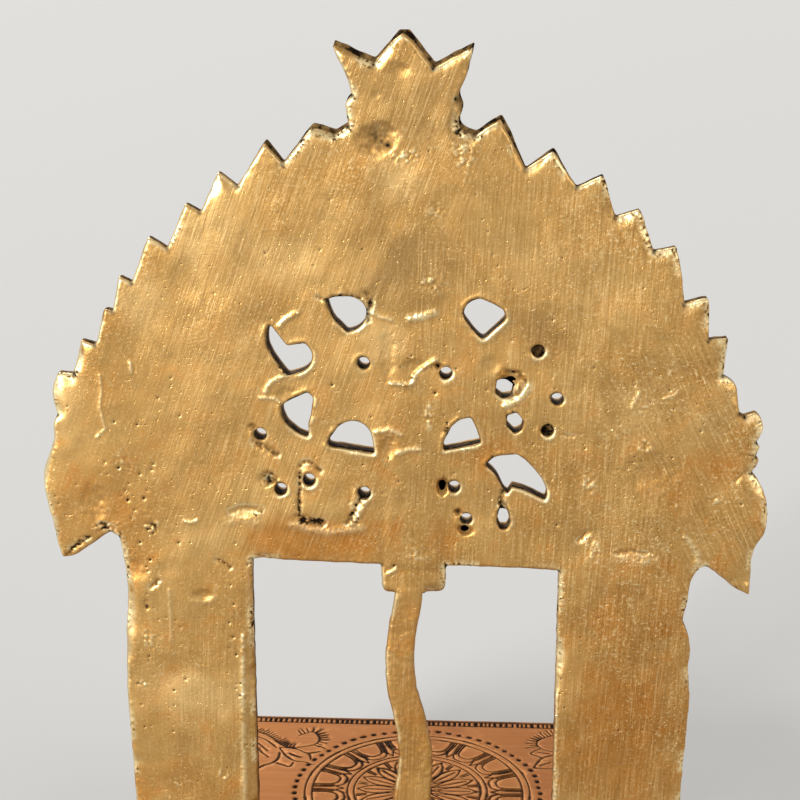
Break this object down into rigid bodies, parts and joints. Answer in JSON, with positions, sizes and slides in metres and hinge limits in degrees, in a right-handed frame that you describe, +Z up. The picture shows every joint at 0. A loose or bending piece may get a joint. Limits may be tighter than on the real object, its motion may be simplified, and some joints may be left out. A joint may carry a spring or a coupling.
{
  "type": "deity throne",
  "caption": "Brass throne for an idol: a seat on turned legs with a pierced, flame-edged arch that lifts out of the seat.",
  "frame": {"origin": "on the ground under the middle of the throne", "axes": "+Z up, front of the throne towards -Y, arch at the rear (+Y)"},
  "size_m": [0.203, 0.098, 0.2895],
  "materials": {
    "filed_brass": "cast brass filed by hand, with dull file marks, pits and dark holes",
    "cast_brass": "cast and turned brass with darkened recesses and rubbed high places",
    "engraved_copper_brass": "copper-toned brass plate with chased lines, dark in the cuts",
    "screw_steel": "dull plated screw"
  },
  "bodies": {
    "base": {"seat_plate": "engraved_copper_brass", "apron_front": "cast_brass", "apron_rear": "cast_brass", "apron_right": "cast_brass", "apron_left": "cast_brass", "leg_front_right": "cast_brass", "leg_front_left": "cast_brass", "leg_rear_right": "cast_brass", "leg_rear_left": "cast_brass", "leg_screw_front_right": "screw_steel", "leg_screw_front_left": "screw_steel", "leg_screw_rear_right": "screw_steel", "leg_screw_rear_left": "screw_steel", "tenon_socket_left": "cast_brass", "tenon_socket_right": "cast_brass", "socket_rivet_left_1": "cast_brass", "socket_rivet_left_2": "cast_brass", "socket_rivet_right_1": "cast_brass", "socket_rivet_right_2": "cast_brass"},
    "arch": {"arch_plate": "filed_brass", "stem": "filed_brass"}
  },
  "joints": [
    {"name": "arch_lift", "type": "slide", "parent": "base", "child": "arch", "axis": [0, 0, 1], "range_m": [0, 0.03]}
  ]
}
